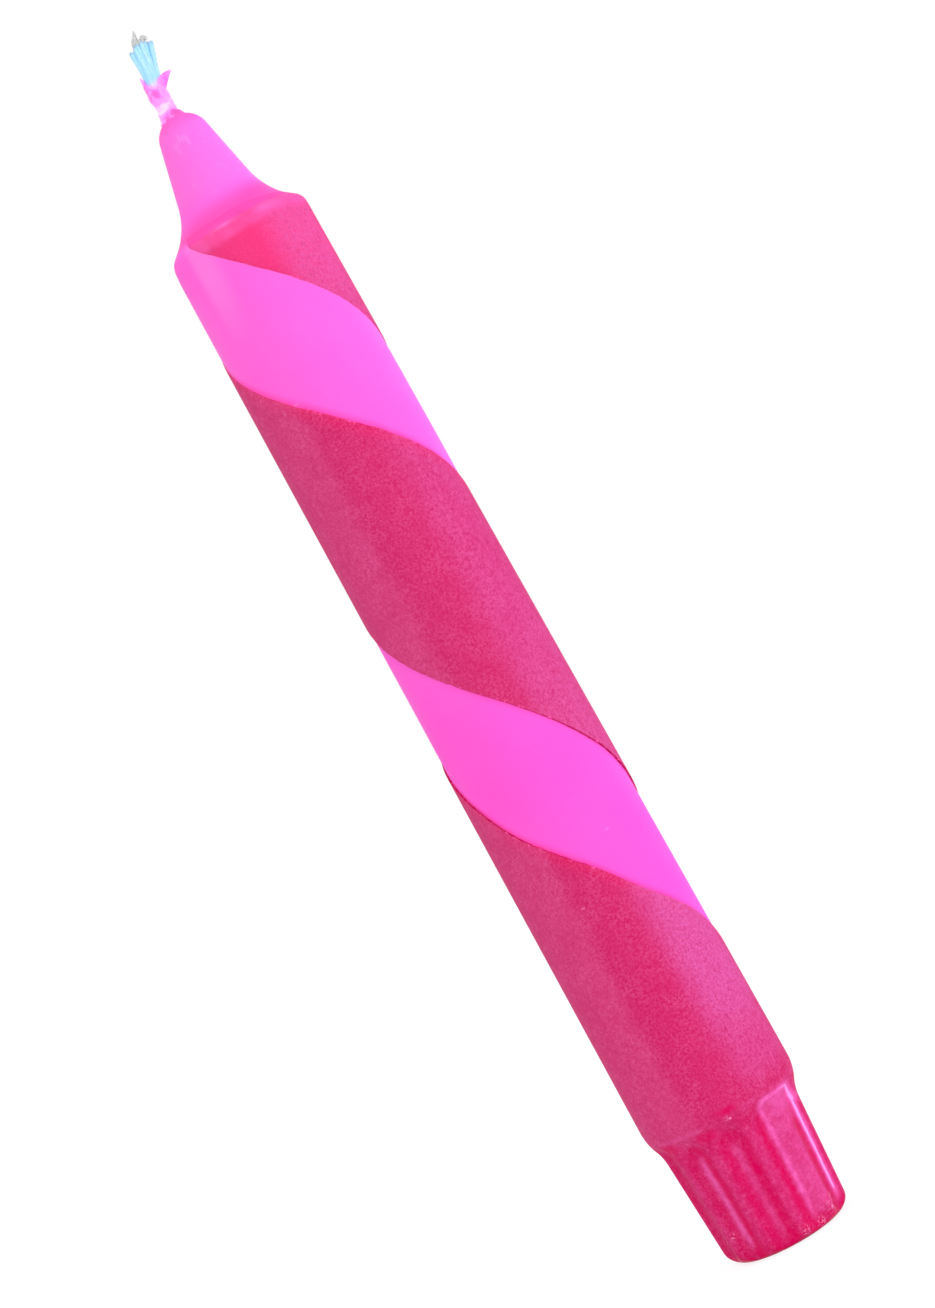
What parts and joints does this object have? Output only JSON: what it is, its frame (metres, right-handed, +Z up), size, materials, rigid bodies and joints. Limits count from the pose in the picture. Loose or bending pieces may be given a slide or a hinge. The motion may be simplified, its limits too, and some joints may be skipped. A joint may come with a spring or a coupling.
{
  "type": "dinner candle",
  "caption": "Tapered dinner candle with a fluted foot, a bottle-shaped neck, a dyed dip coat open along a bare spiral stripe, and a waxed cotton wick that bends.",
  "frame": {"origin": "centre of the foot's flat bottom, on the surface that the candle stands on", "axes": "+Z up along the candle's axis towards the wick, -Y out of the front that the picture shows, +X to its right"},
  "size_m": [0.0244, 0.0244, 0.2002],
  "materials": {
    "neon_wax": "smooth satin wax, dyed neon pink all through",
    "raspberry_dip": "thin raspberry skin, matte and finely mottled on the body, glossy in the flutes",
    "waxed_cotton": "plaited cotton soaked with wax",
    "wick_wax": "uneven film of pale pink wax",
    "blue_cotton": "loose pale blue cotton yarn",
    "grey_cotton": "fine frayed grey-white fibres"
  },
  "bodies": {
    "candle": {"wax_body": "neon_wax", "dip_coat": "raspberry_dip", "plait_strand_1": "waxed_cotton", "plait_strand_2": "waxed_cotton", "plait_strand_3": "waxed_cotton"},
    "wick_stub": {"wick_film": "wick_wax", "yarns_left": "blue_cotton", "yarns_middle": "blue_cotton", "yarns_right": "blue_cotton", "frayed_fibres": "grey_cotton"}
  },
  "joints": [
    {"name": "wick_bend", "type": "hinge", "parent": "candle", "child": "wick_stub", "pos_m": [-0.0003, 0, 0.18722], "axis": [0, 1, 0], "range_deg": [-60, 60]}
  ]
}
